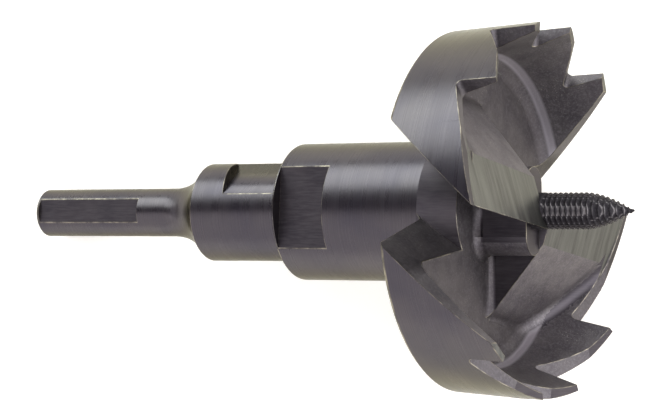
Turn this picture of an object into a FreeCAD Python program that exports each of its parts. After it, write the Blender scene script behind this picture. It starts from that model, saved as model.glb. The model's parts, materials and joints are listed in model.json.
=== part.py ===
import FreeCAD, Part
import math
import os

V = FreeCAD.Vector

# A self-feed drill bit for large holes in timber, all sizes in millimetres.
# Bit frame: the axis is Z, the shank points to -Z and the cutting end to +Z, and z = 0 is the
# rear rim of the head. Angles are about Z, in degrees, counted the way the bit turns in use.

# Head rim
head_d = 92.1              # cutting diameter over the tooth tips, 3-5/8 in
rim_lean = 1.5             # the rim's rear edge has this much less radius than the tips
rim_rear_chamfer = 0.8
tip_z = 25.5               # tooth tips, above the rear edge of the rim
gap_inner_margin = 1.0     # the gap before the cutter starts just inside the rim's inner wall
tooth_gap_margin = 7.3     # the other gaps start this far inside it, over the open dish
tip_overrun = 1.05         # a tooth's land is cut this share of its length past the tip
back_overrun = 1.3
web_floor_z = 5.6          # front face of the web that joins hub and rim
web_rear_rise = 2.8        # the web's rear face falls back this far towards the hub
rim_foot_wall = 8.75       # from the cutting circle in to the rim's inner wall, at the web
rim_tip_wall = 1.55        # the same at the height of the tips
rim_foot_fillet = 4.0
hub_fillet = 1.4

# Teeth: the steep face of each, its tip height, and the ground land behind the tip
tooth_angles = (49.2, 79.0, 105.5, 138.0)
tooth_tip_z = (25.0, 25.5, 25.5, 25.5)
gullet_z = (15.0, 15.0, 13.2, 15.0)
gullet_fillet = 1.2
land_span = 12.5           # degrees of each tooth that carry the ground land
land_fall = 3.2            # how far the land falls over that span
first_land_span = 7.4
first_land_fall = 1.0
lead_angle = 178.2         # leading corner of the wing, where rim and cutter meet
lead_z = 24.75
lead_mid_angle = 156.0     # the long last back is steeper up to here
lead_mid_z = 20.2

# Cutters: in wing axes, u runs out along the cutting edge and v away from it, behind the edge
relief_z = 22.8            # ground relief face over the axis
relief_rise = 0.0513       # per mm of u
relief_fall = 0.289        # per mm of v
ramp_z = 26.97             # cast ramp behind the relief face, over the axis
ramp_rise = 0.131
ramp_fall = 0.82
ramp_wall_u = 2.67         # inner wall of the ramp, clear of the axis
ramp_lead = 6.0            # the ramp is cast this far past the axis, then milled back to the edge
ramp_foot_fillet = 3.0

# Chip flutes: the rake face under each cutting edge and the trailing face of the wing before it
rake_turn = -8.4           # direction of the rake face's level lines
rake_offset = -16.1
rake_lean = 40.8           # lean from the bit's axis
trail_turn = 5.9
trail_offset = 2.6
trail_lean = 45.0

# Centre boss
boss_front_z = 19.3
boss_half_length = 10.9
boss_half_width = 4.55
boss_foot_fillet = 2.0

# Hub
hub_r = 17.45
hub_length = 45.05         # from its rear face to the rear edge of the rim
hub_chamfer = 0.5
hub_flat_depth = 3.38
hub_flat_angle = -4.8
hub_flat_lip = 0.6         # thin lip left at the hub's rear edge
hub_flat_length = 14.55    # from the hub's rear face to the step

# Shank
shank_r = 6.35             # 1/2 in
shank_end_land = 1.0       # round land left behind the drive flats
shank_chamfer = 0.5
flat_angle = -6.0          # first of the three drive flats
flat_count = 3
flat_depth = 0.85
drive_flat_length = 31.8
round_length = 6.0         # full round between the drive flats and the flare
neck_length = 15.2         # flare and the short taper behind the collar
flare_r = 15.0
shoulder_r = 10.2
collar_r = 12.7            # 1 in
collar_length = 26.95
collar_chamfer = 0.5
collar_flat_depth = 2.55
collar_flat_angle = -59.0
collar_flat_length = 19.15
collar_flat_skew = 11.3    # the end wall of each wrench flat stands this far off square

# Threaded joint of shank and hub
spigot_r = 9.5
spigot_length = 22.0
spigot_chamfer = 1.2
socket_extra = 2.0         # room past the spigot's end
joint_clearance = 0.05     # radial, between screw threads drawn plain

# Feed screw
screw_r = 4.5
screw_taper_z = 33.5
screw_point_shape = ((0.84, 0.34), (0.57, 0.61), (0.29, 0.82))   # shares of radius and length
screw_tip_z = 45.4
screw_tip_r = 0.25
stem_r = 3.17
stem_length = 14.0
stem_clearance = 0.05
stem_socket_extra = 1.5
stem_flat_depth = 0.7
stem_flat_margin = 0.5

# Set screw
set_screw_r = 2.4
set_screw_length = 6.0
set_screw_below_front = 6.5
set_screw_socket_af = 2.4
set_screw_socket_depth = 2.6
set_screw_chamfer = 0.4

# How far cutting tools run out into the open, and how far joined forms sink into each other
overrun = 1.0
drill_point_rise = 31.0    # degrees off square at the bottom of a drilled hole

# Steps in which the resting pose is worked out
rest_steps = 60

head_r = head_d / 2
rim_rear_r = head_r - rim_lean
rim_inner_foot_r = head_r - rim_foot_wall
rim_inner_tip_r = head_r - rim_tip_wall
blank_top_z = max(tooth_tip_z) + overrun
far = 2.0 * head_r
hub_rear_z = -hub_length
hub_flat_end_z = hub_rear_z + hub_flat_length
collar_rear_z = hub_rear_z - collar_length
collar_flat_rear_z = hub_rear_z - collar_flat_length
flare_start_z = collar_rear_z - neck_length
flat_end_z = flare_start_z - round_length
flat_start_z = flat_end_z - drive_flat_length
shank_end_z = flat_start_z - shank_end_land
spigot_end_z = hub_rear_z + spigot_length
stem_foot_z = boss_front_z - stem_length
set_screw_z = boss_front_z - set_screw_below_front


def rim_radius(z):
    return rim_rear_r + (head_r - rim_rear_r) * z / tip_z


def rim_inner_radius(z):
    slope = (rim_inner_tip_r - rim_inner_foot_r) / (tip_z - web_floor_z)
    return rim_inner_foot_r + slope * (z - web_floor_z)


def web_rear_z(r):
    return -web_rear_rise * (rim_rear_r - r) / (rim_rear_r - hub_r)


def polar(r, angle, z):
    a = math.radians(angle)
    return V(r * math.cos(a), r * math.sin(a), z)


def turned(shape, angle):
    copy = shape.copy()
    copy.rotate(V(0, 0, 0), V(0, 0, 1), angle)
    return copy


def outline(path):
    """A face in the XZ plane. path lists (r, z) corners; an arc is a point on it and its end."""
    edges = []
    here = path[0]
    for step in path[1:] + [path[0]]:
        start = V(here[0], 0, here[1])
        if isinstance(step[0], tuple):
            through, here = step
            edges.append(Part.Arc(start, V(through[0], 0, through[1]), V(here[0], 0, here[1])).toShape())
        else:
            here = step
            edges.append(Part.LineSegment(start, V(here[0], 0, here[1])).toShape())
    return Part.Face(Part.Wire(edges))


def revolved(path):
    return outline(path).revolve(V(0, 0, 0), V(0, 0, 1), 360)


def rounded(before, corner, after, radius):
    """The steps of an outline that round one of its corners: where the arc starts, then the arc."""
    middle = V(*corner, 0)
    back = (V(*before, 0) - middle).normalize()
    onward = (V(*after, 0) - middle).normalize()
    half = back.getAngle(onward) / 2
    inward = (back + onward).normalize()
    start = middle + back * (radius / math.tan(half))
    through = middle + inward * (radius / math.sin(half) - radius)
    end = middle + onward * (radius / math.tan(half))
    return [(start.x, start.y), ((through.x, through.y), (end.x, end.y))]


def cylinder(r, z0, z1):
    return Part.makeCylinder(r, z1 - z0, V(0, 0, z0))


def edges_where(shape, test):
    return [edge for edge in shape.Edges if test(edge)]


def slab_outside(point, normal):
    """A large block whose base lies on a plane and which fills the side its normal points to."""
    block = Part.makeBox(2 * far, 2 * far, 2 * far, V(-far, -far, 0))
    block.Placement = FreeCAD.Placement(point, FreeCAD.Rotation(V(0, 0, 1), normal))
    return block


def rake_plane():
    """A point on the rake face of the first wing, and its normal out of the metal."""
    lean = math.radians(rake_lean)
    level = math.radians(rake_turn)
    across = V(-math.sin(level), math.cos(level), 0)
    normal = across * math.cos(lean) - V(0, 0, math.sin(lean))
    return across * rake_offset, normal


def trail_plane():
    """A point on the trailing face of the other wing, and its normal into that wing."""
    lean = math.radians(trail_lean)
    level = math.radians(trail_turn)
    across = V(-math.sin(level), math.cos(level), 0)
    normal = across * math.cos(lean) - V(0, 0, math.sin(lean))
    return across * trail_offset, normal


def head_blank():
    """Hub, web and rim as one turned form."""
    hub_top = (hub_r, hub_rear_z + hub_chamfer)
    hub_foot = (hub_r, web_rear_z(hub_r))
    rim_rear = (rim_rear_r - rim_rear_chamfer, web_rear_z(rim_rear_r - rim_rear_chamfer))
    wall_top = (rim_inner_radius(blank_top_z), blank_top_z)
    wall_foot = (rim_inner_foot_r, web_floor_z)
    web_middle = (0, web_floor_z)
    path = [(0, hub_rear_z), (hub_r - hub_chamfer, hub_rear_z), hub_top]
    path += rounded(hub_top, hub_foot, rim_rear, hub_fillet)
    path += [rim_rear, (rim_radius(rim_rear_chamfer), rim_rear_chamfer)]
    path += [(rim_radius(blank_top_z), blank_top_z), wall_top]
    path += rounded(wall_top, wall_foot, web_middle, rim_foot_fillet)
    path.append(web_middle)
    return revolved(path)


def boss():
    """The centre boss: a bar with round ends and a flared foot, lying across the bit."""
    straight = boss_half_length - boss_half_width
    sunk = web_floor_z - boss_foot_fillet
    foot = (boss_half_width, web_floor_z)
    floor_out = (boss_half_width + 2 * boss_foot_fillet, web_floor_z)
    edge = (boss_half_width, boss_front_z)
    half = [(0, sunk), (boss_half_width + boss_foot_fillet, sunk)]
    half += rounded(floor_out, foot, edge, boss_foot_fillet)
    half += [edge, (0, boss_front_z)]
    section = outline(half)
    pieces = []
    for side in (-1, 1):
        end = section.revolve(V(0, 0, 0), V(0, 0, 1), 360)
        end.translate(V(0, side * straight, 0))
        pieces.append(end)
        bar = section.extrude(V(0, 2 * straight, 0))
        bar.translate(V(0, -straight, 0))
        pieces.append(turned(bar, 90 + side * 90))
    return pieces[0].fuse(pieces[1:]).removeSplitter()


def ramp():
    """The first wing's ramp and cutter: the metal under the relief face and under the cast ramp."""
    z0 = web_floor_z - overrun
    body = Part.makeBox(head_r, head_r + ramp_lead, 2 * head_r, V(ramp_wall_u, -head_r, z0))
    return under_slopes(body)


def ramp_wall_foot():
    """The rounded foot along the inner wall of the first ramp, which carries on the boss's own."""
    z0 = web_floor_z - overrun
    foot = (ramp_wall_u, web_floor_z)
    floor_out = (ramp_wall_u - 2 * boss_foot_fillet, web_floor_z)
    wall_up = (ramp_wall_u, web_floor_z + 2 * boss_foot_fillet)
    path = [(ramp_wall_u + overrun, z0), (ramp_wall_u - boss_foot_fillet, z0)]
    path += rounded(floor_out, foot, wall_up, boss_foot_fillet)
    path.append((ramp_wall_u + overrun, web_floor_z + boss_foot_fillet))
    strip = outline(path).extrude(V(0, head_r, 0))
    strip.translate(V(0, -head_r, 0))
    return under_slopes(strip)


def under_slopes(body):
    """What of a form lies under the relief face and the cast ramp, and inside the rim's metal."""
    z0 = web_floor_z - overrun
    relief = slab_outside(V(0, 0, relief_z), V(-relief_rise, -relief_fall, 1))
    cast = slab_outside(V(0, 0, ramp_z), V(-ramp_rise, -ramp_fall, 1))
    body = body.cut(relief).cut(cast)
    inside_rim = revolved([
        (0, z0),
        (rim_radius(z0) - overrun, z0),
        (rim_radius(blank_top_z) - overrun, blank_top_z),
        (0, blank_top_z),
    ])
    return body.common(inside_rim)


def is_ramp_foot(edge):
    """True for the edge where the cast ramp of either wing meets the web."""
    box = edge.BoundBox
    if abs(box.ZMin - web_floor_z) > 1e-5 or abs(box.ZMax - web_floor_z) > 1e-5:
        return False
    middle = edge.valueAt((edge.FirstParameter + edge.LastParameter) / 2)
    side = 1 if middle.x > 0 else -1
    height = ramp_z + side * (ramp_rise * middle.x + ramp_fall * middle.y)
    return abs(height - web_floor_z) < 1e-4


def flute(core):
    """Metal removed between the first wing's rake face and the other wing's trailing face."""
    point, normal = rake_plane()
    behind_rake = slab_outside(point, normal * -1)
    point, normal = trail_plane()
    into_trail = slab_outside(point, normal)
    depth = 2 * hub_fillet + web_rear_rise + overrun
    channel = Part.makeBox(far, 2 * far, depth + blank_top_z + overrun, V(0, -far, -depth))
    return channel.cut(behind_rake).cut(into_trail).cut(core)


def gap_cutter(angle, profile, inner):
    """Metal removed above one stretch of the rim, straight across it at one angle.

    profile lists (angle, z) along the bottom of the gap, in order round the rim.
    """
    top = blank_top_z + overrun
    corners = []
    for corner_angle, z in profile + [(profile[-1][0], top), (profile[0][0], top)]:
        corners.append(V(inner, head_r * math.sin(math.radians(corner_angle - angle)), z))
    face = Part.Face(Part.makePolygon(corners + [corners[0]]))
    return face.extrude(V(far, 0, 0))


def tooth_gap(angle, foot_z, profile, inner):
    """The gap in front of a steep tooth face, with its foot rounded."""
    cutter = gap_cutter(angle, [(angle, foot_z)] + profile, inner)
    foot = edges_where(cutter, lambda e: runs_along_x(e, 0, foot_z))
    return turned(cutter.makeFillet(gullet_fillet, foot), angle)


def runs_along_x(edge, y, z):
    """True for a straight edge along X at a given place."""
    return all(abs(v.Y - y) < 1e-5 and abs(v.Z - z) < 1e-5 for v in edge.Vertexes)


def beyond(low, high, factor):
    """The point past high on the line from low to high, both (angle, z)."""
    return (low[0] + factor * (high[0] - low[0]), low[1] + factor * (high[1] - low[1]))


def tooth_gaps():
    """Everything cut from one wing's rim to leave its teeth."""
    inner = rim_inner_foot_r - gap_inner_margin
    first_tip = (tooth_angles[0], tooth_tip_z[0])
    first_back = (first_tip[0] - first_land_span, first_tip[1] - first_land_fall)
    land = [beyond(first_tip, first_back, 2), first_tip]
    gaps = [turned(gap_cutter(first_tip[0], land, inner), first_tip[0])]
    for index in range(len(tooth_angles) - 1):
        tip = (tooth_angles[index + 1], tooth_tip_z[index + 1])
        back = (tip[0] - land_span, tip[1] - land_fall)
        gaps.append(tooth_gap(tooth_angles[index], gullet_z[index],
                              [back, beyond(back, tip, tip_overrun)],
                              rim_inner_foot_r - tooth_gap_margin))
    middle = (lead_mid_angle, lead_mid_z)
    foot = (tooth_angles[-1], gullet_z[-1])
    gaps.append(tooth_gap(foot[0], foot[1], [beyond(foot, middle, back_overrun)], inner))
    corner = (lead_angle, lead_z)
    long_back = [beyond(corner, middle, back_overrun), beyond(middle, corner, back_overrun)]
    gaps.append(turned(gap_cutter(lead_angle, long_back, inner), lead_angle))
    return gaps


def flat_cutter(r, depth, angle, z0, z1):
    """A block that mills one flat on a round of radius r."""
    block = Part.makeBox(r, 4 * r, z1 - z0, V(r - depth, -2 * r, z0))
    return turned(block, angle)


def cutter_head():
    blank = head_blank().fuse(boss()).removeSplitter()
    core = blank.common(cylinder(hub_r, hub_rear_z, boss_front_z))
    first_ramp = ramp()
    body = blank.fuse([first_ramp, turned(first_ramp, 180)])
    body = body.makeFillet(ramp_foot_fillet, edges_where(body, is_ramp_foot))
    first_foot = ramp_wall_foot()
    body = body.fuse([first_foot, turned(first_foot, 180)])
    first_flute = flute(core)
    cutters = [first_flute, turned(first_flute, 180)]
    for gap in tooth_gaps():
        cutters += [gap, turned(gap, 180)]
    body = body.cut(cutters)
    body = body.cut(head_bores())
    for side in (0, 180):
        body = body.cut(flat_cutter(hub_r, hub_flat_depth, hub_flat_angle + side,
                                    hub_rear_z + hub_flat_lip, hub_flat_end_z))
    return body.removeSplitter()


def drilled(r, mouth_z, bottom_z):
    """A drilled hole on the axis, with the cone that the drill's point leaves beyond bottom_z."""
    side = math.copysign(1, bottom_z - mouth_z)
    point = side * r * math.tan(math.radians(drill_point_rise))
    return revolved([(0, mouth_z), (r, mouth_z), (r, bottom_z), (0, bottom_z + point)])


def head_bores():
    """The shank's socket with its lead-in, the feed screw's socket and the set screw's hole."""
    socket_r = spigot_r + joint_clearance
    socket = drilled(socket_r, hub_rear_z - overrun, spigot_end_z + socket_extra)
    lead_in = revolved([
        (0, hub_rear_z - overrun),
        (socket_r + spigot_chamfer + overrun, hub_rear_z - overrun),
        (socket_r, hub_rear_z + spigot_chamfer),
        (0, hub_rear_z + spigot_chamfer),
    ])
    stem_socket = drilled(stem_r + stem_clearance, blank_top_z, stem_foot_z - stem_socket_extra)
    tapped = Part.makeCylinder(set_screw_r + joint_clearance, boss_half_length + overrun,
                               V(0, 0, set_screw_z), V(0, -1, 0))
    neck_room = cylinder(screw_r + stem_clearance, boss_front_z, blank_top_z + overrun)
    return [socket, lead_in, stem_socket, tapped, neck_room]


def shank():
    """Drive end, flared neck, collar and spigot, turned in one piece and then milled."""
    flare_run = math.sqrt(flare_r ** 2 - (flare_r - shoulder_r + shank_r) ** 2)
    middle_run = flare_run / 2
    middle_rise = flare_r - math.sqrt(flare_r ** 2 - middle_run ** 2)
    body = revolved([
        (0, shank_end_z),
        (shank_r - shank_chamfer, shank_end_z),
        (shank_r, shank_end_z + shank_chamfer),
        (shank_r, flare_start_z),
        ((shank_r + middle_rise, flare_start_z + middle_run), (shoulder_r, flare_start_z + flare_run)),
        (shoulder_r, collar_rear_z),
        (collar_r - collar_chamfer, collar_rear_z),
        (collar_r, collar_rear_z + collar_chamfer),
        (collar_r, hub_rear_z),
        (spigot_r, hub_rear_z),
        (spigot_r, spigot_end_z - spigot_chamfer),
        (spigot_r - spigot_chamfer, spigot_end_z),
        (0, spigot_end_z),
    ])
    for index in range(flat_count):
        angle = flat_angle + index * 360 / flat_count
        body = body.cut(flat_cutter(shank_r, flat_depth, angle, flat_start_z, flat_end_z))
    for side in (0, 180):
        body = body.cut(collar_flat_cutter(collar_flat_angle + side))
    return body


def collar_flat_cutter(angle):
    """A block that mills one wrench flat of the collar, up to its slanted end wall."""
    block = flat_cutter(collar_r, collar_flat_depth, 0, collar_rear_z, hub_rear_z)
    skew = math.radians(collar_flat_skew)
    wall = slab_outside(V(0, 0, collar_flat_rear_z), V(0, math.sin(skew), -math.cos(skew)))
    return turned(block.cut(wall), angle)


def feed_screw():
    """The lead screw drawn at its full thread diameter, with its stem and clamping flat."""
    path = [(0, stem_foot_z), (stem_r, stem_foot_z), (stem_r, boss_front_z)]
    path += [(screw_r, boss_front_z), (screw_r, screw_taper_z)]
    for radius_share, length_share in screw_point_shape:
        z = screw_taper_z + length_share * (screw_tip_z - screw_taper_z)
        path.append((screw_r * radius_share, z))
    path += [(screw_tip_r, screw_tip_z), (0, screw_tip_z)]
    reach = set_screw_r + stem_flat_margin
    notch = flat_cutter(stem_r, stem_flat_depth, -90, set_screw_z - reach, set_screw_z + reach)
    return revolved(path).cut(notch)


def set_screw():
    """The set screw, its end on the stem's flat and its hexagon socket facing out."""
    inner = stem_r - stem_flat_depth
    body = Part.makeCylinder(set_screw_r, set_screw_length, V(0, -inner, set_screw_z), V(0, -1, 0))
    body = body.makeChamfer(set_screw_chamfer, edges_where(body, lambda e: e.isClosed()))
    corner = set_screw_socket_af / math.sqrt(3)
    mouth = -inner - set_screw_length
    hexagon = []
    for step in range(7):
        a = math.radians(60 * step)
        hexagon.append(V(corner * math.cos(a), mouth, set_screw_z + corner * math.sin(a)))
    socket = Part.Face(Part.makePolygon(hexagon)).extrude(V(0, set_screw_socket_depth, 0))
    return body.cut(socket)


def rim_corner_angle(point, normal, z):
    """Angle at which a flute face meets the outside of the rim at height z."""
    r = rim_radius(z)
    level = math.degrees(math.atan2(-normal.x, normal.y))
    across = math.hypot(normal.x, normal.y)
    reach = (point.dot(normal) - normal.z * z) / across
    return level + math.degrees(math.asin(reach / r))


def rise_to_clear(plane, down):
    """Tilt at which the rim's edge along one face of the lower flute just meets the floor."""
    point, normal = plane
    rear = shank_end_z + shank_chamfer
    rises = []
    for step in range(rest_steps + 1):
        z = rim_rear_chamfer + (lead_z - rim_rear_chamfer) * step / rest_steps
        angle = rim_corner_angle(point, normal, z) + 180
        hang = rim_radius(z) * math.cos(math.radians(angle - down))
        rises.append(math.atan2(hang - shank_r, z - rear))
    return max(rises)


def lying():
    """Placement of the bit as it lies: on its shank end and on the rim either side of a flute."""
    rake = rake_plane()
    trail = trail_plane()
    low = rim_corner_angle(*rake, rim_rear_chamfer) + 180
    high = rim_corner_angle(*trail, rim_rear_chamfer) + 180
    for _ in range(rest_steps):
        down = (low + high) / 2
        if rise_to_clear(trail, down) > rise_to_clear(rake, down):
            high = down
        else:
            low = down
    rise = rise_to_clear(rake, down)
    drop = polar(1, down, 0)
    matrix = FreeCAD.Matrix(0, 0, 1, 0,
                            -drop.y, drop.x, 0, 0,
                            -drop.x, -drop.y, 0, 0,
                            0, 0, 0, 1)
    tilt = FreeCAD.Placement(V(0, 0, 0), FreeCAD.Rotation(V(0, 1, 0), -math.degrees(rise)))
    lift = shank_r * math.cos(rise) - (shank_end_z + shank_chamfer) * math.sin(rise)
    raised = FreeCAD.Placement(V(0, 0, lift), FreeCAD.Rotation())
    return raised.multiply(tilt).multiply(FreeCAD.Placement(matrix))


def centring(shapes):
    """Placement that brings the middle of the whole bit's box over the origin."""
    whole = Part.makeCompound(shapes).optimalBoundingBox()
    return FreeCAD.Placement(V(-whole.Center.x, -whole.Center.y, 0), FreeCAD.Rotation())


def bit():
    """Every piece of the bit by its name, lying on the floor."""
    pieces = {
        "cutter_head": cutter_head(),
        "shank": shank(),
        "feed_screw": feed_screw(),
        "set_screw": set_screw(),
    }
    pose = lying()
    for shape in pieces.values():
        shape.Placement = pose.multiply(shape.Placement)
    centre = centring(list(pieces.values()))
    for shape in pieces.values():
        shape.Placement = centre.multiply(shape.Placement)
    return pieces


def main():
    os.makedirs("parts", exist_ok=True)
    for name, shape in bit().items():
        shape.exportStep("parts/" + name + ".step")
        box = shape.optimalBoundingBox()
        print(name, "solids", len(shape.Solids), "valid", shape.isValid(),
              "volume %.0f" % shape.Volume, "z %.2f to %.2f" % (box.ZMin, box.ZMax))


main()
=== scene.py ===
# %% [markdown]
# # A self-feed drill bit, dressed for a picture
# The solid model gives the forged head, the turned shank, the feed screw and the set screw.
# This lesson loads them as a fixed frame and gives each one the finish that the shop gave it:
# black oxide over turned, milled, ground and as-forged steel, with bright worn edges.

# %% Load the frame
import json
import math

import bmesh
import bpy
from mathutils import Matrix, Quaternion, Vector


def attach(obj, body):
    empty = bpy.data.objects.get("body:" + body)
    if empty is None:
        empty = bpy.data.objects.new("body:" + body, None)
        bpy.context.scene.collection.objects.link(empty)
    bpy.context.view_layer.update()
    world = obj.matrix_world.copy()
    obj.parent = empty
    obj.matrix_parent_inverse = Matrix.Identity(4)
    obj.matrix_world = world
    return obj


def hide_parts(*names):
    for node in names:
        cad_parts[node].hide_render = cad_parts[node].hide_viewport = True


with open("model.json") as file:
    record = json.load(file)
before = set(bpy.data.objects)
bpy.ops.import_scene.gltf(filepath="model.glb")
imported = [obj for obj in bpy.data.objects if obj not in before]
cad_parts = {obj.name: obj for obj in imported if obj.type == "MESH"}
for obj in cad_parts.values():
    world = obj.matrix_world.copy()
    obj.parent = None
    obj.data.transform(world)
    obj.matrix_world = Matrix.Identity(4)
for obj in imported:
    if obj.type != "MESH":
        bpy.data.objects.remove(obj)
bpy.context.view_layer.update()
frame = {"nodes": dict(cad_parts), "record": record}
print("nodes:", sorted(frame["nodes"]))

# %% [markdown]
# ## The bit's own frame
# On the floor the bit lies tilted on its shank's end and two cutting edges, so no surface of it
# is square to the world. Every size below is easier in the bit's own frame: millimetres, z along
# the axis towards the cut, x out of the side that faces the camera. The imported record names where
# a chuck takes hold of the shank, and those places give this frame back.

# %% Find the bit's frame from its mounts
FLAT_ANGLE = -6.0          # degrees from the bit's x to the first drive flat
CHUCK_HEIGHT = -90.2       # mm along the axis at the chuck's place on the shank
MM = 0.001

mounts = {mount["name"]: mount for mount in frame["record"]["mounts"]}
axis = -Vector(mounts["drive_shank"]["axis"]).normalized()
to_flat = Vector(mounts["drive_flat_1"]["axis"])
facing = (Quaternion(axis, math.radians(-FLAT_ANGLE)) @ to_flat).normalized()
across = axis.cross(facing)
origin = Vector(mounts["drive_shank"]["pos_m"]) - axis * CHUCK_HEIGHT * MM

bit_turn = Matrix((facing, across, axis)).transposed()
from_bit = Matrix.Translation(origin) @ bit_turn.to_4x4() @ Matrix.Scale(MM, 4)
to_bit = from_bit.inverted()
print("bit origin", [round(c, 4) for c in origin])

# %% [markdown]
# ## Camera
# The photograph looks down on the cutting side, about 30 degrees off square to the axis, from a
# little over half a metre. A long lens keeps the perspective as gentle as it is there.

# %% Camera
LOOK_ANGLE = math.radians(29.57)
ROLL = math.radians(-0.27)
DISTANCE = 585.0           # mm from the camera to the picture's plane through the axis
AIM_RIGHT, AIM_DOWN = -33.88, -0.455
LENS = 130.6

along = Vector((-math.sin(LOOK_ANGLE), 0, math.cos(LOOK_ANGLE)))
aside = Vector((0, 1, 0))
to_camera = Vector((math.cos(LOOK_ANGLE), 0, math.sin(LOOK_ANGLE)))
right = math.cos(ROLL) * along - math.sin(ROLL) * aside
down = math.sin(ROLL) * along + math.cos(ROLL) * aside
camera_at = from_bit @ (AIM_RIGHT * right + AIM_DOWN * down + DISTANCE * to_camera)

camera = bpy.data.objects.new("camera", bpy.data.cameras.new("camera"))
turn = Matrix((bit_turn @ right, bit_turn @ -down, bit_turn @ to_camera)).transposed()
camera.matrix_world = Matrix.Translation(camera_at) @ turn.to_4x4()
camera.data.lens = LENS
camera.data.sensor_width = 36.0
camera.data.clip_start = 0.01
bpy.context.scene.collection.objects.link(camera)
bpy.context.scene.camera = camera
print("camera at", [round(c, 3) for c in camera_at])

# %% [markdown]
# ## Materials: one helper, one colour function
# Every finish is a small node tree. Colours are written as they look on a screen and turned to
# linear light by one function. One helper adds a node, sets it and links it.

# %% Helpers for the finishes
def linear(hex_colour):
    """An sRGB hex colour as linear RGBA."""
    channels = [int(hex_colour[i:i + 2], 16) / 255 for i in (0, 2, 4)]
    light = [c / 12.92 if c <= 0.04045 else ((c + 0.055) / 1.055) ** 2.4 for c in channels]
    return (*light, 1.0)


def add(tree, kind, inputs=(), **settings):
    """Adds a node. An input is a value, another node (its first live output) or an output."""
    made = tree.nodes.new(kind)
    for name, value in settings.items():
        setattr(made, name, value)
    for key, value in dict(inputs).items():
        if isinstance(value, bpy.types.Node):
            value = next(output for output in value.outputs if output.enabled)
        if isinstance(value, bpy.types.NodeSocket):
            tree.links.new(value, made.inputs[key])
        else:
            made.inputs[key].default_value = value
    return made


def oxide_start(name):
    """A new metal: its node tree, and bit millimetres as pattern coordinates."""
    material = bpy.data.materials.new(name)
    material.use_nodes = True
    tree = material.node_tree
    place = add(tree, "ShaderNodeTexCoord").outputs["Object"]
    bit_mm = add(tree, "ShaderNodeMapping", {
        "Vector": place, "Location": origin, "Rotation": bit_turn.to_euler(), "Scale": (MM, MM, MM),
    }, vector_type="TEXTURE")
    return material, tree, bit_mm


def rubbed(tree, bit_mm, colour, bright, amount):
    """The colour with its oxide rubbed off along edges, in broken stretches."""
    soft = add(tree, "ShaderNodeBevel", {"Radius": 0.25 * MM}, samples=6)
    true = add(tree, "ShaderNodeNewGeometry").outputs["Normal"]
    match = add(tree, "ShaderNodeVectorMath", {0: soft, 1: true}, operation="DOT_PRODUCT").outputs["Value"]
    edge = add(tree, "ShaderNodeMapRange", {"Value": match, "From Min": 0.985, "From Max": 0.9})
    patches = add(tree, "ShaderNodeTexNoise", {"Vector": bit_mm, "Scale": 0.9, "Detail": 4.0})
    broken = add(tree, "ShaderNodeMapRange", {
        "Value": patches, "From Min": 0.42, "From Max": 0.62, "To Max": amount})
    share = add(tree, "ShaderNodeMath", {0: edge, 1: broken}, operation="MULTIPLY")
    return add(tree, "ShaderNodeMix", {0: share, 6: colour, 7: linear(bright)}, data_type="RGBA")


def oxide_end(tree, colour, roughness, height, bump, depth):
    """Sets the metal's shader. depth is the height of the pattern in millimetres."""
    shader = tree.nodes["Principled BSDF"]
    shader.inputs["Metallic"].default_value = 1.0
    shader.inputs["Specular Tint"].default_value = linear("dbd9c9")
    raised = add(tree, "ShaderNodeBump", {"Height": height, "Strength": bump, "Distance": depth * MM})
    tree.links.new(colour.outputs[2], shader.inputs["Base Color"])
    tree.links.new(roughness.outputs[0], shader.inputs["Roughness"])
    tree.links.new(raised.outputs[0], shader.inputs["Normal"])


# %% [markdown]
# ## Turned black oxide
# The hub, the collar, the shank and the outside of the rim come off a lathe. The tool leaves fine
# rings, and the hot black oxide over them is a thin dark skin that still shines like metal. A
# wave would look printed, so noise that changes only along the axis makes the rings.

# %% Turned black oxide
def turned_oxide():
    """Dark satin steel with fine rings: long soft highlights along the axis."""
    material, tree, bit_mm = oxide_start("turned black oxide")
    height = add(tree, "ShaderNodeSeparateXYZ", {"Vector": bit_mm}).outputs["Z"]
    # Real rings are 0.1 mm apart, too fine to show, so these are three times as coarse.
    rings = add(tree, "ShaderNodeTexNoise", {
        "W": height, "Scale": 3.5, "Detail": 3.0, "Roughness": 0.7}, noise_dimensions="1D")
    passes = add(tree, "ShaderNodeTexNoise", {"W": height, "Scale": 0.35}, noise_dimensions="1D")
    cloud = add(tree, "ShaderNodeTexNoise", {"Vector": bit_mm, "Scale": 0.06, "Detail": 4.0})
    tint = add(tree, "ShaderNodeMapRange", {"Value": cloud, "From Min": 0.35, "From Max": 0.65})
    skin = add(tree, "ShaderNodeMix", {0: tint, 6: linear("4f4c53"), 7: linear("5a5659")}, data_type="RGBA")
    line = add(tree, "ShaderNodeMapRange", {
        "Value": rings, "From Min": 0.35, "From Max": 0.7, "To Max": 0.45})
    ringed = add(tree, "ShaderNodeMix", {0: line, 6: skin, 7: linear("3f3b42")}, data_type="RGBA")
    gloss = add(tree, "ShaderNodeMapRange", {
        "Value": passes, "From Min": 0.3, "From Max": 0.7, "To Min": 0.25, "To Max": 0.31})
    colour = rubbed(tree, bit_mm, ringed, "9a9488", 0.5)
    oxide_end(tree, colour, gloss, rings, 0.3, 0.02)
    return material


turned = turned_oxide()
print("made", turned.name)

# %% [markdown]
# ## Milled black oxide
# Flats and chip faces are cut by a face mill or an end mill. The cutter leaves slanting tracks
# across the face, a little coarser than the lathe's rings.

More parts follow.
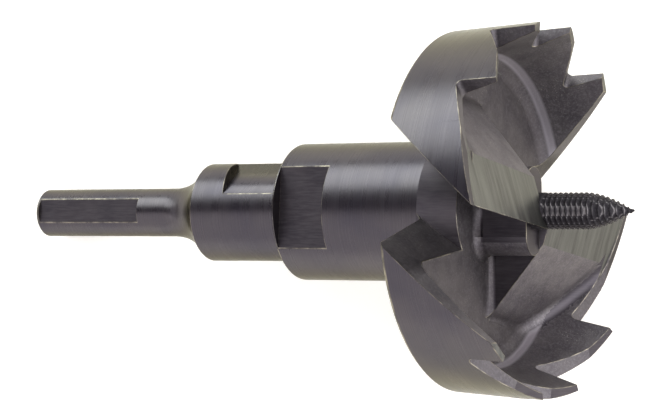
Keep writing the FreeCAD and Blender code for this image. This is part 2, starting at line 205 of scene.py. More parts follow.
# %% Milled black oxide
def milled_oxide():
    """Flat dark steel with faint slanting cutter tracks."""
    material, tree, bit_mm = oxide_start("milled black oxide")
    slant = add(tree, "ShaderNodeMapping", {
        "Vector": bit_mm, "Rotation": (0, 0, math.radians(24)), "Scale": (0.15, 2.4, 0.25)})
    tracks = add(tree, "ShaderNodeTexNoise", {
        "Vector": slant, "Scale": 1.0, "Detail": 3.0, "Roughness": 0.6})
    cloud = add(tree, "ShaderNodeTexNoise", {"Vector": bit_mm, "Scale": 0.12, "Detail": 4.0})
    tint = add(tree, "ShaderNodeMapRange", {"Value": cloud, "From Min": 0.35, "From Max": 0.65})
    skin = add(tree, "ShaderNodeMix", {0: tint, 6: linear("454147"), 7: linear("4e494e")}, data_type="RGBA")
    line = add(tree, "ShaderNodeMapRange", {
        "Value": tracks, "From Min": 0.4, "From Max": 0.7, "To Max": 0.5})
    tracked = add(tree, "ShaderNodeMix", {0: line, 6: skin, 7: linear("5d595d")}, data_type="RGBA")
    gloss = add(tree, "ShaderNodeMapRange", {
        "Value": tracks, "From Min": 0.3, "From Max": 0.7, "To Min": 0.42, "To Max": 0.54})
    colour = rubbed(tree, bit_mm, tracked, "9a9488", 0.5)
    oxide_end(tree, colour, gloss, tracks, 0.4, 0.03)
    return material


milled = milled_oxide()
print("made", milled.name)

# %% [markdown]
# ## As-forged black oxide
# The hollow of each wing, the ramps and the boss are left as they came from the die. The skin is
# full of small pits and looks soft and dull beside the cut faces. Three things change it from
# place to place: painted shade on the floor of each dish, a painted highlight along the foot of the rim's
# inner wall, and a darker tone on the teeth.

# %% As-forged black oxide
def forged_oxide():
    """Dull dark skin with fine grain and scattered pits."""
    material, tree, bit_mm = oxide_start("as-forged black oxide")
    # Real grain is 0.1 mm, too fine to show, so this is drawn six times as coarse.
    grain = add(tree, "ShaderNodeTexNoise", {
        "Vector": bit_mm, "Scale": 1.5, "Detail": 3.0, "Roughness": 0.8})
    lumps = add(tree, "ShaderNodeTexNoise", {"Vector": bit_mm, "Scale": 0.22, "Detail": 3.0})
    patches = add(tree, "ShaderNodeTexNoise", {"Vector": bit_mm, "Scale": 0.11})
    dots = add(tree, "ShaderNodeTexVoronoi", {"Vector": bit_mm, "Scale": 1.6})
    pit = add(tree, "ShaderNodeMapRange", {"Value": dots, "From Min": 0.28, "From Max": 0.12})
    here = add(tree, "ShaderNodeMapRange", {"Value": patches, "From Min": 0.56, "From Max": 0.66})
    pits = add(tree, "ShaderNodeMath", {0: pit, 1: here}, operation="MULTIPLY")
    tint = add(tree, "ShaderNodeMapRange", {"Value": lumps, "From Min": 0.35, "From Max": 0.65})
    skin = add(tree, "ShaderNodeMix", {0: tint, 6: linear("625d62"), 7: linear("706b6e")}, data_type="RGBA")
    fine = add(tree, "ShaderNodeMapRange", {
        "Value": grain, "From Min": 0.45, "From Max": 0.7, "To Max": 0.7})
    grained = add(tree, "ShaderNodeMix", {0: fine, 6: skin, 7: linear("8d888d")}, data_type="RGBA")
    pitted = add(tree, "ShaderNodeMix", {0: pits, 6: grained, 7: linear("96908e")}, data_type="RGBA")
    dull = add(tree, "ShaderNodeMapRange", {
        "Value": grain, "From Min": 0.3, "From Max": 0.7, "To Min": 0.5, "To Max": 0.64})
    surface = add(tree, "ShaderNodeMath", {0: grain, 1: lumps}, operation="ADD")
    sunk = add(tree, "ShaderNodeMath", {0: surface, 1: pits}, operation="SUBTRACT")
    # Painted shade: the floor of each dish is made darker to stand in for the shade in the hollow.
    where = add(tree, "ShaderNodeSeparateXYZ", {"Vector": bit_mm}).outputs
    low = add(tree, "ShaderNodeMapRange", {"Value": where["Z"], "From Min": 8.5, "From Max": 6.2})
    from_middle = add(tree, "ShaderNodeMath", {0: where["Y"]}, operation="ABSOLUTE")
    side = add(tree, "ShaderNodeMapRange", {
        "Value": from_middle, "From Min": 4.0, "From Max": 12.0, "To Max": 0.85})
    dish_shade_mask = add(tree, "ShaderNodeMath", {0: low, 1: side}, operation="MULTIPLY")
    painted_dish_shade = add(tree, "ShaderNodeMix", {0: dish_shade_mask, 6: pitted, 7: linear("b9b7b8")}, data_type="RGBA",
                 blend_type="MULTIPLY")
    # Painted highlight: a light band along the foot of the rim's inner wall stands in for the
    # highlight on the fillet there. Above it, faces near the rim are made darker towards the teeth.
    flat = add(tree, "ShaderNodeVectorMath", {0: bit_mm, 1: (1, 1, 0)}, operation="MULTIPLY")
    radius = add(tree, "ShaderNodeVectorMath", {0: flat}, operation="LENGTH").outputs["Value"]
    near_rim = add(tree, "ShaderNodeMapRange", {"Value": radius, "From Min": 36.8, "From Max": 37.4})
    above = add(tree, "ShaderNodeMapRange", {"Value": where["Z"], "From Min": 7.1, "From Max": 7.8})
    below = add(tree, "ShaderNodeMapRange", {"Value": where["Z"], "From Min": 9.8, "From Max": 9.1})
    band = add(tree, "ShaderNodeMath", {0: above, 1: below}, operation="MULTIPLY")
    world_way = add(tree, "ShaderNodeNewGeometry").outputs["Normal"]
    own_way = add(tree, "ShaderNodeVectorTransform", {"Vector": world_way}, vector_type="NORMAL")
    way = add(tree, "ShaderNodeMapping", {
        "Vector": own_way, "Rotation": bit_turn.to_euler()}, vector_type="TEXTURE")
    ray = add(tree, "ShaderNodeVectorMath", {0: flat}, operation="NORMALIZE")
    outward = add(tree, "ShaderNodeVectorMath", {0: way, 1: ray}, operation="DOT_PRODUCT").outputs["Value"]
    inner = add(tree, "ShaderNodeMapRange", {"Value": outward, "From Min": -0.72, "From Max": -0.88})
    wall = add(tree, "ShaderNodeMath", {0: inner, 1: near_rim}, operation="MULTIPLY")
    painted_highlight_band = add(tree, "ShaderNodeMath", {0: band, 1: wall}, operation="MULTIPLY")
    painted_rim_highlight = add(tree, "ShaderNodeMix", {0: painted_highlight_band, 6: painted_dish_shade, 7: linear("b0aab2")}, data_type="RGBA")
    # Faces near the rim from 9.8 to 13 mm up are mixed towards a darker grey.
    high = add(tree, "ShaderNodeMapRange", {
        "Value": where["Z"], "From Min": 9.8, "From Max": 13.0, "To Max": 0.28})
    darker_near_teeth = add(tree, "ShaderNodeMath", {0: high, 1: near_rim}, operation="MULTIPLY")
    darkened_teeth = add(tree, "ShaderNodeMix", {0: darker_near_teeth, 6: painted_rim_highlight, 7: linear("3c393d")}, data_type="RGBA")
    colour = rubbed(tree, bit_mm, darkened_teeth, "a09a8f", 0.5)
    oxide_end(tree, colour, dull, sunk, 0.5, 0.12)
    return material


forged = forged_oxide()
print("made", forged.name)

# %% [markdown]
# ## Ground faces
# The relief behind each cutting edge and the top of each tooth are ground last. The wheel leaves
# straight scratches and takes most of the oxide with it, so these faces are the lightest.

# %% Ground steel
def ground_steel():
    """Light grey steel with straight scratches and broad bands from the wheel."""
    material, tree, bit_mm = oxide_start("ground steel")
    fine_way = add(tree, "ShaderNodeMapping", {
        "Vector": bit_mm, "Rotation": (0, 0, math.radians(-27)), "Scale": (3.0, 0.08, 0.5)})
    broad_way = add(tree, "ShaderNodeMapping", {
        "Vector": bit_mm, "Rotation": (0, 0, math.radians(-27)), "Scale": (0.55, 0.02, 0.1)})
    scratches = add(tree, "ShaderNodeTexNoise", {
        "Vector": fine_way, "Scale": 1.0, "Detail": 3.0, "Roughness": 0.7})
    bands = add(tree, "ShaderNodeTexNoise", {"Vector": broad_way, "Scale": 1.0, "Detail": 1.0})
    tint = add(tree, "ShaderNodeMapRange", {"Value": bands, "From Min": 0.35, "From Max": 0.65})
    steel = add(tree, "ShaderNodeMix", {0: tint, 6: linear("4c4b4d"), 7: linear("60605f")}, data_type="RGBA")
    line = add(tree, "ShaderNodeMapRange", {
        "Value": scratches, "From Min": 0.4, "From Max": 0.7, "To Max": 0.6})
    scratched = add(tree, "ShaderNodeMix", {0: line, 6: steel, 7: linear("797775")}, data_type="RGBA")
    gloss = add(tree, "ShaderNodeMapRange", {
        "Value": scratches, "From Min": 0.3, "From Max": 0.7, "To Min": 0.38, "To Max": 0.52})
    colour = rubbed(tree, bit_mm, scratched, "c9c3b6", 0.8)
    oxide_end(tree, colour, gloss, scratches, 0.4, 0.03)
    return material


ground = ground_steel()
print("made", ground.name)

# %% [markdown]
# ## Worn edge steel
# Where two cut faces meet, handling rubs the oxide off a hair-thin strip of bare steel. A real
# bevel gets this finish, and noise breaks the strip so that it doesn't look drawn.

# %% Worn edge steel
def worn_steel():
    """Bright bare steel, broken by patches of oxide."""
    material, tree, bit_mm = oxide_start("worn edge steel")
    patches = add(tree, "ShaderNodeTexNoise", {
        "Vector": bit_mm, "Scale": 0.35, "Detail": 4.0, "Roughness": 0.6})
    bare = add(tree, "ShaderNodeMapRange", {"Value": patches, "From Min": 0.4, "From Max": 0.65})
    colour = add(tree, "ShaderNodeMix", {
        0: bare, 6: linear("534f50"), 7: linear("8f887c")}, data_type="RGBA")
    gloss = add(tree, "ShaderNodeMapRange", {
        "Value": patches, "From Min": 0.3, "From Max": 0.7, "To Min": 0.45, "To Max": 0.3})
    oxide_end(tree, colour, gloss, patches, 0.2, 0.02)
    return material


worn_edge = worn_steel()
print("made", worn_edge.name)

# %% [markdown]
# ## Rolled thread steel
# The feed screw is a bought-in part with its own grey oxide. Its crests are rubbed bright by the
# wood and also carry a painted highlight, and its grooves are darkened as painted shade.

# %% Rolled thread steel
SCREW_BODY_R = 4.5
SCREW_TAPER = 33.5
SCREW_TIP = 45.4
SCREW_TIP_R = 0.25


def thread_steel():
    """Grey steel, with painted shade in the grooves of the thread and wear and a painted highlight on its
    crests.
    """
    material, tree, bit_mm = oxide_start("rolled thread steel")
    crest = add(tree, "ShaderNodeAttribute", attribute_name="crest").outputs["Fac"]
    grain = add(tree, "ShaderNodeTexNoise", {"Vector": bit_mm, "Scale": 2.2, "Detail": 4.0})
    # Painted shade: the skin darkens down into the grooves.
    flank = add(tree, "ShaderNodeMapRange", {"Value": crest, "From Min": 0.1, "From Max": 0.7})
    skin = add(tree, "ShaderNodeMix", {
        0: flank, 6: linear("343136"), 7: linear("413e43")}, data_type="RGBA")
    # The crests are lighter, partly from wear and partly as a painted highlight.
    top = add(tree, "ShaderNodeMapRange", {"Value": crest, "From Min": 0.76, "From Max": 0.95})
    crest_wear_and_highlight = add(tree, "ShaderNodeMix", {0: top, 6: skin, 7: linear("9c979a")}, data_type="RGBA")
    fine = add(tree, "ShaderNodeMapRange", {
        "Value": grain, "From Min": 0.45, "From Max": 0.75, "To Max": 0.4})
    colour = add(tree, "ShaderNodeMix", {0: fine, 6: crest_wear_and_highlight, 7: linear("6e6b6d")}, data_type="RGBA")
    gloss = add(tree, "ShaderNodeMapRange", {
        "Value": grain, "From Min": 0.3, "From Max": 0.7, "To Min": 0.66, "To Max": 0.78})
    oxide_end(tree, colour, gloss, grain, 0.25, 0.04)
    return material


threaded = thread_steel()
print("made", threaded.name)

# %% [markdown]
# ## Dressing a solid
# The solids come as loose triangles. A copy is welded, its flat faces are joined back into single
# faces, and each face is given its finish by where it is and where it points. Then a real bevel a
# sixth of a millimetre wide breaks the sharp outer edges. Sizes and areas here are in millimetres.

# %% Dress a copy of a solid
BEVEL = 0.16
SHARP = math.radians(30)   # two faces that meet at more than this make an edge
FLAT_AREA = 25             # every face above this size is flat
SMALL_FLAT_AREA = 4        # and so is one above this size with many corners
LONG_FACE = 3              # a turned face this long stands for a straight line of the outline
RIM_OUTSIDE_R = 44         # and so does every turned face beyond this radius


def dressed(node, finishes, finish_of, reshape=None):
    """A copy of a node with joined faces, bevelled edges and a finish on every face."""
    mesh = frame["nodes"][node].data.copy()
    mesh.materials.clear()
    for material in finishes:
        mesh.materials.append(material)
    mesh.materials.append(worn_edge)
    form = bmesh.new()
    form.from_mesh(mesh)
    bmesh.ops.transform(form, matrix=to_bit, verts=form.verts)
    bmesh.ops.remove_doubles(form, verts=form.verts, dist=0.002)
    bmesh.ops.dissolve_limit(form, angle_limit=math.radians(0.4), verts=form.verts, edges=form.edges)
    if reshape:
        reshape(form)
    form.normal_update()
    for face in form.faces:
        face.material_index = finish_of(face.calc_center_median(), face.normal)
        face.smooth = True
    # Only an outer edge can be rubbed, so inner corners stay crisp and dark.
    rub = form.edges.layers.float.new("bevel_weight_edge")
    sharp = [edge for edge in form.edges
             if edge.is_manifold and edge.is_convex and edge.calc_face_angle() > SHARP]
    for edge in sharp:
        edge[rub] = 1.0
    print(node, "faces", len(form.faces), "sharp edges", len(sharp))
    form.to_mesh(mesh)
    form.free()
    piece = bpy.data.objects.new(node + "_dressed", mesh)
    bpy.context.scene.collection.objects.link(piece)
    broken = piece.modifiers.new("broken edges", "BEVEL")
    broken.width = BEVEL
    broken.segments = 2
    broken.limit_method = "WEIGHT"
    broken.use_clamp_overlap = False
    broken.material = len(finishes)
    return piece


def true_normals(mesh, round_slots, worn_slot):
    """Gives flat faces and faces turned about the axis their exact normals, so that no facet shows."""
    mesh.set_sharp_from_angle(angle=SHARP)
    normals = [corner.vector.copy() for corner in mesh.corner_normals]
    beside = {}
    for face in mesh.polygons:
        if face.material_index == worn_slot:
            continue
        centre, normal = face.center, face.normal
        radius = max(math.hypot(centre.x, centre.y), 0.001)
        outward = (normal.x * centre.x + normal.y * centre.y) / radius
        sideways = (normal.y * centre.x - normal.x * centre.y) / radius
        points = [mesh.vertices[v].co for v in face.vertices]
        meridian = [(math.hypot(p.x, p.y), p.z) for p in points]
        reach = max(math.dist(a, b) for a in meridian for b in meridian)
        is_lathed = face.material_index in round_slots or (outward > 0.9 and face.area < FLAT_AREA)
        is_round = is_lathed and abs(sideways) < 0.08 and abs(outward) > 0.05
        is_flat = face.area > FLAT_AREA or (len(points) > 5 and face.area > SMALL_FLAT_AREA)
        for point, loop in zip(points, face.loop_indices):
            if is_round:
                is_straight = reach > LONG_FACE or radius > RIM_OUTSIDE_R
                up = normal.z if is_straight else normals[loop].z
                level = math.copysign(math.sqrt(max(0.0, 1 - up * up)), outward)
                away = Vector((point.x, point.y, 0)).normalized()
                normals[loop] = away * level + Vector((0, 0, up))
            elif is_flat:
                normals[loop] = normal.copy()
            beside.setdefault(mesh.loops[loop].vertex_index, []).append(normals[loop])
    for face in mesh.polygons:
        if face.material_index == worn_slot:
            for vertex, loop in zip(face.vertices, face.loop_indices):
                if vertex in beside:
                    normals[loop] = sum(beside[vertex], Vector()).normalized()
    mesh.normals_split_custom_set([tuple(normal) for normal in normals])


def settled(piece, round_slots=(), body="root"):
    """Applies what is live on a piece, brings it from bit millimetres to its place, and lets it ride."""
    view = bpy.context.evaluated_depsgraph_get()
    finished = bpy.data.meshes.new_from_object(piece.evaluated_get(view))
    piece.modifiers.clear()
    piece.data = finished
    if round_slots:
        true_normals(finished, round_slots, len(finished.materials) - 1)
    finished.transform(from_bit)
    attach(piece, body)
    print(piece.name, "triangles", sum(len(face.vertices) - 2 for face in finished.polygons))
    return piece


# %% [markdown]
# ## The forged head
# One forging carries every finish. Seen from the cut, its two wings are the same form half a turn
# apart, so a face of the second wing is turned back onto the first before it is judged.

# %% Sort the head's faces by finish
RIM_REAR_R, RIM_TIP_R, RIM_TIP_Z = 44.55, 46.05, 25.5
HUB_R = 17.45
RELIEF_NORMAL = Vector((-0.0513, -0.289, 1)).normalized()
WEB_FLOOR = 5.6
SOCKET_R = 12
RIM_INSIDE_R, RIM_FOOT_R, RIM_FOOT_Z = 43, 38, 9.8
BOSS_R, BOSS_FRONT_Z = 17, 18
RAMP_WALL_R = 30
TEETH_R, TEETH_Z = 35, 19
FIRST_TOOTH = (38, 50)     # degrees about the axis
SAME_WAY = 0.9995          # cosine between a face's normal and a plane's that belong together
TURNED, MILLED, FORGED, GROUND, WORN = range(5)


def leaning(turn_angle, lean_angle):
    """The normal of a chip face from its turn about the axis and its lean, in degrees."""
    level, lean = math.radians(turn_angle), math.radians(lean_angle)
    side = Vector((-math.sin(level), math.cos(level), 0))
    return side * math.cos(lean) - Vector((0, 0, math.sin(lean)))


RAKE_NORMAL = leaning(-8.4, 40.8)
FLUTE_START_Z = -4.0       # the flute's floor starts here on the hub
FLUTE_END_R = 14.9         # and falls to this radius at the web's front face


def flute_floor(form):
    """Lets the floor of both chip flutes fall away towards the cut, as the milling cutter leaves it."""
    def on_hub(vert):
        return abs(math.hypot(vert.co.x, vert.co.y) - HUB_R) < 0.02

    walls = [face for face in form.faces if all(on_hub(vert) for vert in face.verts)
             and max(vert.co.z for vert in face.verts) > FLUTE_START_Z]
    parts = dict.fromkeys(part for face in walls for part in (face, *face.edges, *face.verts))
    bmesh.ops.bisect_plane(form, geom=list(parts), plane_co=(0, 0, FLUTE_START_Z), plane_no=(0, 0, 1))
    lowered = [vert for vert in form.verts
               if on_hub(vert) and FLUTE_START_Z + 0.01 < vert.co.z < WEB_FLOOR + 0.01]
    for vert in lowered:
        share = (vert.co.z - FLUTE_START_Z) / (WEB_FLOOR - FLUTE_START_Z)
        radius = HUB_R + (FLUTE_END_R - HUB_R) * share
        planes = [face.normal for face in vert.link_faces if face.normal.length and abs(face.normal.z) > 0.5
                  and abs(face.normal.z) < 0.9]
        if planes:
            # A point on a chip face slides along the level line of that face.
            along = Vector((planes[0].y, -planes[0].x, 0)).normalized()
            level = Vector((vert.co.x, vert.co.y, 0))
            middle = level.dot(along)
            reach = math.sqrt(max(0.0, middle ** 2 - level.length_squared + radius ** 2))
            slide = min((-middle - reach, -middle + reach), key=abs)
            vert.co += along * slide
        else:
            vert.co.x *= radius / HUB_R
            vert.co.y *= radius / HUB_R
    print("flute floor points", len(lowered))


def head_finish(centre, normal):
    """Which finish a face of the head has."""
    radius = math.hypot(centre.x, centre.y)
    outward = (normal.x * centre.x + normal.y * centre.y) / max(radius, 0.001)
    ways = (normal, Vector((-normal.x, -normal.y, normal.z)))
    rim_outside = RIM_REAR_R + (RIM_TIP_R - RIM_REAR_R) * centre.z / RIM_TIP_Z
    turn = math.degrees(math.atan2(centre.y, centre.x)) % 180
    if outward > 0.9 and radius > rim_outside - 0.5:
        return TURNED
    if FLUTE_START_Z < centre.z < WEB_FLOOR and outward > 0.9 and radius < HUB_R + 0.05:
        return MILLED
    # The head's back, the hub and the socket in it.
    if centre.z < 0 and (normal.z < -0.2 or abs(radius - HUB_R) < 0.05 or radius < SOCKET_R):
        return TURNED
    if any(way.dot(RELIEF_NORMAL) > SAME_WAY for way in ways):
        return GROUND
    if any(way.dot(RAKE_NORMAL) > SAME_WAY for way in ways):
        return MILLED
    # The chamfer on the rim's rear edge, the first thing to touch a bench.
    if radius > RIM_INSIDE_R and centre.z < 1 and normal.z < -0.3 and outward > 0.5:
        return WORN
    # The wrench flats, the boss's front, the ramps' inner walls, and the foot of each ramp's wall.
    on_boss = normal.z > 0.9 and centre.z > BOSS_FRONT_Z and radius < BOSS_R
    on_ramp_wall = abs(normal.x) > 0.95 and radius < RAMP_WALL_R and centre.z > WEB_FLOOR + 0.4
    is_foot = 0.42 < normal.z < 0.9 and outward < -0.1
    on_ramp_foot = is_foot and radius > RIM_FOOT_R and centre.z > RIM_FOOT_Z
    if centre.z < FLUTE_START_Z or on_boss or on_ramp_wall or on_ramp_foot:
        return MILLED
    # The tops of the teeth. The first one is freshly ground.
    if radius > TEETH_R and normal.z > 0.9 and centre.z > TEETH_Z:
        return GROUND if FIRST_TOOTH[0] < turn < FIRST_TOOTH[1] else MILLED
    return FORGED


head = dressed("cutter_head", [turned, milled, forged, ground], head_finish, flute_floor)
settled(head, (TURNED, FORGED))
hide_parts("cutter_head")

# %% [markdown]
# ## The shank
# A turned bar with a wide collar. Three short flats keep a chuck from slipping, and a long wrench
# flat crosses the collar. Every face that stands off the axis and doesn't face along a radius from
# it was milled.

# %% Dress the shank
COLLAR_REAR_Z, COLLAR_R = -72.0, 12.7
DRAWN_FLARE = (-87.2, -77.17)      # where the solid's flare starts and ends
DRAWN_SHOULDER_R = 10.2
FLARE_START_Z, FLARE_LENGTH, FLARE_R, NECK_R = -84.45, 11.3, 15.0, 6.35
DRIVE_FLATS_END_Z = -92            # the drive flats lie behind this height
COLLAR_FLATS_Z = (-64.9, -45.5)    # and the wrench flats between these two


def flare_radius(z):
    """The neck's radius along the flare, a quarter of a circle's outline."""
    return NECK_R + FLARE_R - math.sqrt(FLARE_R ** 2 - (z - FLARE_START_Z) ** 2)


def longer_flare(form):
    """Carries the flare right up to the collar's rear edge, which it meets there in a crisp line."""
    for vert in form.verts:
        radius = math.hypot(vert.co.x, vert.co.y)
        z = vert.co.z
        if not (DRAWN_FLARE[0] - 0.01 < z < COLLAR_REAR_Z + 0.6) or radius > COLLAR_R + 0.05:
            continue
        if z < DRAWN_FLARE[1] + 0.01:
            share = (z - DRAWN_FLARE[0]) / (DRAWN_FLARE[1] - DRAWN_FLARE[0])
            new_z = FLARE_START_Z + share * FLARE_LENGTH
            new_radius = flare_radius(new_z)
        elif z < COLLAR_REAR_Z + 0.01 and radius > DRAWN_SHOULDER_R - 0.7:
            new_z = COLLAR_REAR_Z - (0.55 if radius < DRAWN_SHOULDER_R + 0.3 else 0.15)
            new_radius = flare_radius(new_z)
        elif z > COLLAR_REAR_Z + 0.4 and radius > COLLAR_R - 0.1:
            new_z, new_radius = COLLAR_REAR_Z + 0.02, radius
        else:
            continue
        vert.co = Vector((vert.co.x * new_radius / radius, vert.co.y * new_radius / radius, new_z))


def shank_finish(centre, normal):
    """Which finish a face of the shank has."""
    radius = math.hypot(centre.x, centre.y)
    outward = (normal.x * centre.x + normal.y * centre.y) / max(radius, 0.001)
    sideways = math.hypot(normal.x, normal.y)
    if sideways < 0.5 or radius < 0.5:
        return TURNED
    squarely = outward / sideways
    on_drive_flat = centre.z < DRIVE_FLATS_END_Z and radius < NECK_R - 0.15 and sideways > 0.99
    beside_hub = COLLAR_FLATS_Z[0] < centre.z < COLLAR_FLATS_Z[1]
    on_collar_flat = beside_hub and radius < COLLAR_R - 0.2 and squarely < 0.9999
    return MILLED if on_drive_flat or on_collar_flat else TURNED


shank = dressed("shank", [turned, milled], shank_finish, longer_flare)
settled(shank, (TURNED,))
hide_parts("shank")

# %% [markdown]
# ## The feed screw
# Its thread pulls the bit into the wood. A thread is one profile swept round and along the axis, a
# rule that Geometry Nodes can follow: a flat grid, one pitch wide and as long as all the turns, is
# wrapped round the axis. Between two thin crests the rows are lowered into a broad hollow, and the
# last turns follow the taper down to the point. Seams meet exactly and are merged.

# %% Build the thread's node tree
THREAD_STEPS = 48          # columns round one turn
PROFILE_STEPS = 14         # rows across one pitch


def thread_tree():
    """A node tree that wraps a grid into a tapering screw thread."""
    tree = bpy.data.node_groups.new("feed screw thread", "GeometryNodeTree")
    tree.interface.new_socket("Geometry", in_out="INPUT", socket_type="NodeSocketGeometry")
    sizes = [("Pitch", 1.35), ("Depth", 0.42), ("Body radius", SCREW_BODY_R), ("Tip radius", SCREW_TIP_R),
             ("Start", 19.3), ("First crest", 22.4), ("Taper start", SCREW_TAPER), ("Tip", SCREW_TIP),
             ("Taper power", 1.6), ("Hollow", 3.5)]
    for name, value in sizes:
        socket = tree.interface.new_socket(name, in_out="INPUT", socket_type="NodeSocketFloat")
        socket.default_value = value
    tree.interface.new_socket("Geometry", in_out="OUTPUT", socket_type="NodeSocketGeometry")
    size = add(tree, "NodeGroupInput").outputs
    math_node = "ShaderNodeMath"

    # The flat grid: one pitch wide, with a row of columns for every turn.
    length = add(tree, math_node, {0: size["Tip"], 1: size["Start"]}, operation="SUBTRACT")
    pitches = add(tree, math_node, {0: length, 1: size["Pitch"]}, operation="DIVIDE")
    whole = add(tree, math_node, {0: pitches}, operation="CEIL")
    turns = add(tree, math_node, {0: whole, 1: 1.0}, operation="ADD")
    columns = add(tree, math_node, {0: turns, 1: float(THREAD_STEPS), 2: 1.0}, operation="MULTIPLY_ADD")
    grid = add(tree, "GeometryNodeMeshGrid", {
        "Size X": 1.0, "Size Y": turns, "Vertices X": PROFILE_STEPS + 1, "Vertices Y": columns})
    flat = add(tree, "ShaderNodeSeparateXYZ", {0: add(tree, "GeometryNodeInputPosition")}).outputs

    # How far round each point is, in turns, and how far up, held between the two ends.
    round_by = add(tree, math_node, {0: turns, 1: 0.5, 2: flat["Y"]}, operation="MULTIPLY_ADD")
    across = add(tree, math_node, {0: flat["X"], 1: -0.5}, operation="ADD")
    climb = add(tree, math_node, {0: across, 1: round_by}, operation="ADD")
    free_z = add(tree, math_node, {0: climb, 1: size["Pitch"], 2: size["Start"]}, operation="MULTIPLY_ADD")
    above = add(tree, math_node, {0: free_z, 1: size["Start"]}, operation="MAXIMUM")
    z = add(tree, math_node, {0: above, 1: size["Tip"]}, operation="MINIMUM")

    # Where the point lies on the profile: 0 on a crest, 1 halfway between two crests.
    risen = add(tree, math_node, {0: z, 1: size["Start"]}, operation="SUBTRACT")
    in_pitches = add(tree, math_node, {0: risen, 1: size["Pitch"]}, operation="DIVIDE")
    phase = add(tree, math_node, {0: in_pitches, 1: round_by}, operation="SUBTRACT")
    positive = add(tree, math_node, {0: phase, 1: 2.0}, operation="ADD")
    saw = add(tree, math_node, {0: positive}, operation="FRACT")
    doubled = add(tree, math_node, {0: saw, 1: 2.0, 2: -1.0}, operation="MULTIPLY_ADD")
    away = add(tree, math_node, {0: doubled}, operation="ABSOLUTE")
    ridge = add(tree, math_node, {0: 1.0, 1: away}, operation="SUBTRACT", use_clamp=True)
    raised = add(tree, math_node, {0: ridge, 1: size["Hollow"]}, operation="POWER")
    groove = add(tree, math_node, {0: 1.0, 1: raised}, operation="SUBTRACT")

    # The body's outline: straight, then rounded down to the tip.
    past = add(tree, math_node, {0: z, 1: size["Taper start"]}, operation="SUBTRACT")
    taper = add(tree, math_node, {0: size["Tip"], 1: size["Taper start"]}, operation="SUBTRACT")
    along_taper = add(tree, math_node, {0: past, 1: taper}, operation="DIVIDE", use_clamp=True)
    narrowed = add(tree, math_node, {0: along_taper, 1: size["Taper power"]}, operation="POWER")
    spare = add(tree, math_node, {0: size["Body radius"], 1: size["Tip radius"]}, operation="SUBTRACT")
    lost = add(tree, math_node, {0: spare, 1: narrowed}, operation="MULTIPLY")
    outside = add(tree, math_node, {0: size["Body radius"], 1: lost}, operation="SUBTRACT")

    # The groove fades in at the first crest and shrinks with the body at the tip.
    past_neck = add(tree, math_node, {0: z, 1: size["First crest"]}, operation="SUBTRACT")
    begun = add(tree, math_node, {0: past_neck, 1: size["Pitch"]}, operation="DIVIDE", use_clamp=True)
    full = add(tree, math_node, {0: size["Depth"], 1: begun}, operation="MULTIPLY")
    left = add(tree, math_node, {0: outside, 1: size["Tip radius"]}, operation="SUBTRACT")
    room = add(tree, math_node, {0: left, 1: 0.55}, operation="MULTIPLY")
    depth = add(tree, math_node, {0: full, 1: room}, operation="MINIMUM")
    cut = add(tree, math_node, {0: depth, 1: groove}, operation="MULTIPLY")
    radius = add(tree, math_node, {0: outside, 1: cut}, operation="SUBTRACT")

    # Wrap the grid, remember the crests for the finish, and weld the seams.
    angle = add(tree, math_node, {0: round_by, 1: 2 * math.pi}, operation="MULTIPLY")
    cosine = add(tree, math_node, {0: angle}, operation="COSINE")
    sine = add(tree, math_node, {0: angle}, operation="SINE")
    x = add(tree, math_node, {0: radius, 1: cosine}, operation="MULTIPLY")
    y = add(tree, math_node, {0: radius, 1: sine}, operation="MULTIPLY")
    place = add(tree, "ShaderNodeCombineXYZ", {"X": x, "Y": y, "Z": z})
    wrapped = add(tree, "GeometryNodeSetPosition", {"Geometry": grid, "Position": place})
    started = add(tree, math_node, {0: begun, 1: 0.3}, operation="GREATER_THAN")
    crest = add(tree, math_node, {0: ridge, 1: started}, operation="MULTIPLY")
    marked = add(tree, "GeometryNodeStoreNamedAttribute", {
        "Geometry": wrapped, "Name": "crest", "Value": crest}, data_type="FLOAT")
    merged = add(tree, "GeometryNodeMergeByDistance", {"Geometry": marked, "Distance": 0.004})
    real = add(tree, "GeometryNodeRealizeInstances", {"Geometry": merged})
    coated = add(tree, "GeometryNodeSetMaterial", {"Geometry": real, "Material": threaded})
    add(tree, "NodeGroupOutput", {"Geometry": coated})
    return tree


# %% Make the feed screw
STEM_R = 3.17
STEM_FOOT = 5.3


def feed_screw():
    """The threaded body from the node tree, closed at its tip, on a plain stem."""
    piece = bpy.data.objects.new("threaded_feed_screw", bpy.data.meshes.new("threaded_feed_screw"))
    bpy.context.scene.collection.objects.link(piece)
    maker = piece.modifiers.new("thread", "NODES")
    maker.node_group = thread_tree()
    view = bpy.context.evaluated_depsgraph_get()
    mesh = bpy.data.meshes.new_from_object(piece.evaluated_get(view))
    piece.modifiers.clear()
    form = bmesh.new()
    form.from_mesh(mesh)
    bmesh.ops.dissolve_degenerate(form, dist=0.001, edges=form.edges)
    rims = {"foot": [], "tip": []}
    for edge in form.edges:
        if edge.is_boundary:
            rims["foot" if edge.verts[0].co.z < 25 else "tip"].append(edge)
    print("open edges", len(rims["foot"]), len(rims["tip"]))
    bmesh.ops.contextual_create(form, geom=rims["tip"])
    loop = rims["foot"]
    for radius, z in ((STEM_R, 19.3), (STEM_R, STEM_FOOT + 0.5), (STEM_R - 0.5, STEM_FOOT)):
        grown = bmesh.ops.extrude_edge_only(form, edges=loop)["geom"]
        loop = [part for part in grown if isinstance(part, bmesh.types.BMEdge)]
        for vert in {v for edge in loop for v in edge.verts}:
            share = radius / math.hypot(vert.co.x, vert.co.y)
            vert.co = Vector((vert.co.x * share, vert.co.y * share, z))
    bmesh.ops.contextual_create(form, geom=loop)
    bmesh.ops.recalc_face_normals(form, faces=form.faces)
    for face in form.faces:
        face.smooth = True
    form.to_mesh(mesh)
    form.free()
    piece.data = mesh
    return piece


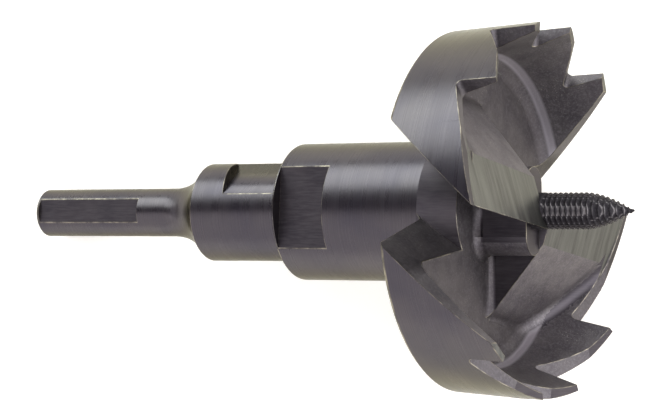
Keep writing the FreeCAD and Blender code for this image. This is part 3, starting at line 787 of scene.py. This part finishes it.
screw = settled(feed_screw())
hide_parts("feed_screw")

# %% [markdown]
# ## The set screw
# A small socket screw holds the feed screw's stem. It is far too small for its own finish to be
# studied, and takes the turned one.

# %% Finish the set screw
set_screw = frame["nodes"]["set_screw"]
set_screw.data.materials.clear()
set_screw.data.materials.append(turned)
print("set screw finished")

# %% [markdown]
# ## Floor and light
# A photographer lays the bit on white paper over a light table, which glows a little and takes the
# shadows away. A wide soft light on each long side gives the dark steel bright lines along its
# length and leaves its middle dark. One at each end and one above show the faces that look there.

# %% Floor and lights
def floor():
    """A wide sheet of paper that glows faintly."""
    mesh = bpy.data.meshes.new("paper")
    reach = 3.0
    corners = [(-reach, -reach, 0), (reach, -reach, 0), (reach, reach, 0), (-reach, reach, 0)]
    mesh.from_pydata(corners, [], [(0, 1, 2, 3)])
    paper = bpy.data.materials.new("white paper")
    paper.use_nodes = True
    shader = paper.node_tree.nodes["Principled BSDF"]
    shader.inputs["Base Color"].default_value = linear("fcfbf8")
    shader.inputs["Emission Color"].default_value = linear("fff8f0")
    shader.inputs["Emission Strength"].default_value = 0.36
    shader.inputs["Roughness"].default_value = 0.9
    mesh.materials.append(paper)
    sheet = bpy.data.objects.new("paper", mesh)
    bpy.context.scene.collection.objects.link(sheet)


def softbox(name, direction, distance, width, height, power, colour, spread=180):
    """A wide area light that looks at the bit from a direction in the bit's picture."""
    light = bpy.data.lights.new(name, "AREA")
    light.shape = "RECTANGLE"
    light.spread = math.radians(spread)
    light.size, light.size_y = width, height
    light.energy = power
    light.color = linear(colour)[:3]
    box = bpy.data.objects.new(name, light)
    target = from_bit @ Vector((0, 0, -20))
    ray = Vector(direction).normalized()
    aim = ray.to_track_quat("Z", "Y").to_matrix().to_4x4()
    box.matrix_world = Matrix.Translation(target + ray * distance) @ aim
    bpy.context.scene.collection.objects.link(box)


floor()
# Direction, then distance, width and height in metres, power in watts, colour and spread in degrees.
softbox("far side", (-0.5, 0.85, 0.43), 1.0, 1.8, 0.62, 6.3, "f6fff8", 110)
softbox("near side", (-0.60, -0.68, 0.37), 1.0, 1.3, 1.2, 5.5, "fffdfa")
softbox("cutting end", (1.0, 0.1, 0.5), 1.0, 1.2, 0.7, 10.6, "fcfffd")
softbox("shank end", (-1.0, 0.0, 0.25), 1.1, 0.9, 0.3, 0.6, "fdfdff")
softbox("overhead", (0.24, -0.13, 0.96), 1.2, 1.3, 1.3, 10.4, "fefffd")

world = bpy.data.worlds.new("studio")
bpy.context.scene.world = world
world.use_nodes = True
world.node_tree.nodes["Background"].inputs["Color"].default_value = linear("c9bccf")
world.node_tree.nodes["Background"].inputs["Strength"].default_value = 0.3
bpy.context.scene.view_settings.view_transform = "Standard"
